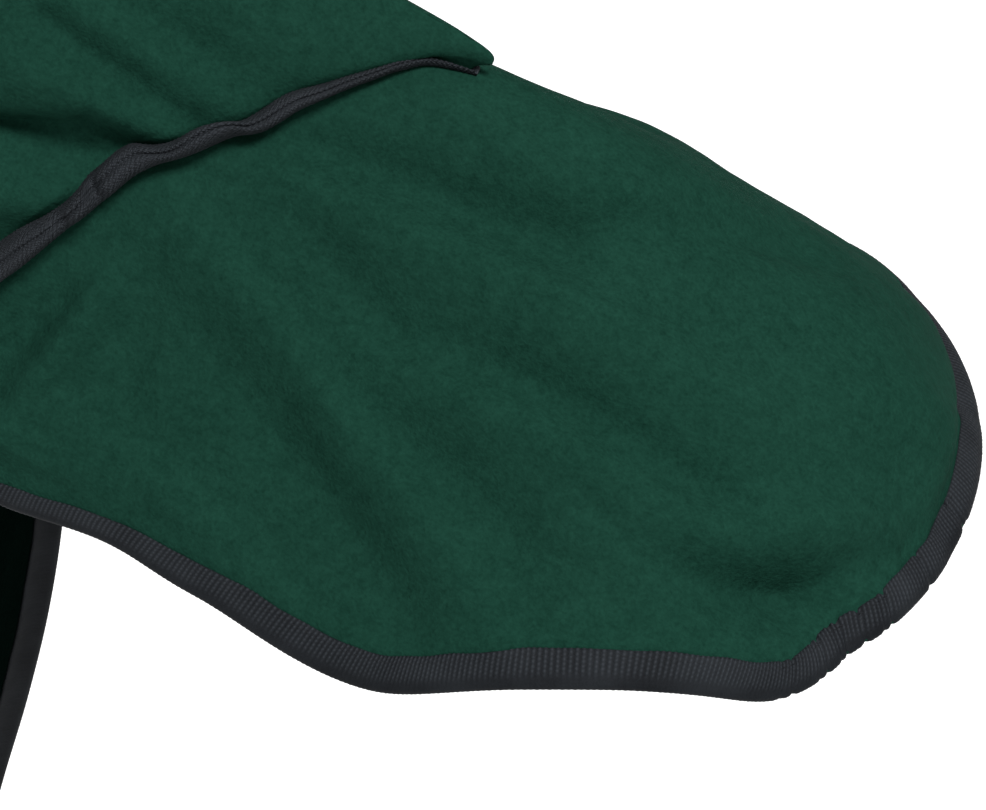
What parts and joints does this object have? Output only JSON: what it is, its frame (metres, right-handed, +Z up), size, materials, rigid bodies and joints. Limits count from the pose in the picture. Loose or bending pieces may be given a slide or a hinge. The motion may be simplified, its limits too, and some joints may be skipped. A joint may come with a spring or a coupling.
{
  "type": "fleece horse blanket",
  "caption": "Worn fleece blanket for a small horse: a back panel, a neck piece joined by a raised bound seam, and a hanging chest flap, all edged in folded woven tape.",
  "frame": {"origin": "on the back at the withers, where the wearer carries the blanket", "axes": "+Z up, the wearer's length along X with the head towards -X and the rump towards +X, the wearer's left side towards -Y"},
  "size_m": [0.4548, 0.2874, 0.5464],
  "materials": {
    "fleece": "napped dark green fleece",
    "tape": "ribbed black woven tape"
  },
  "bodies": {
    "root": {"body_panel": "fleece", "neck_piece": "fleece", "chest_flap": "fleece", "hem_binding": "tape", "neck_edge_binding": "tape", "neck_seam_binding": "tape", "flap_binding": "tape"}
  },
  "joints": []
}
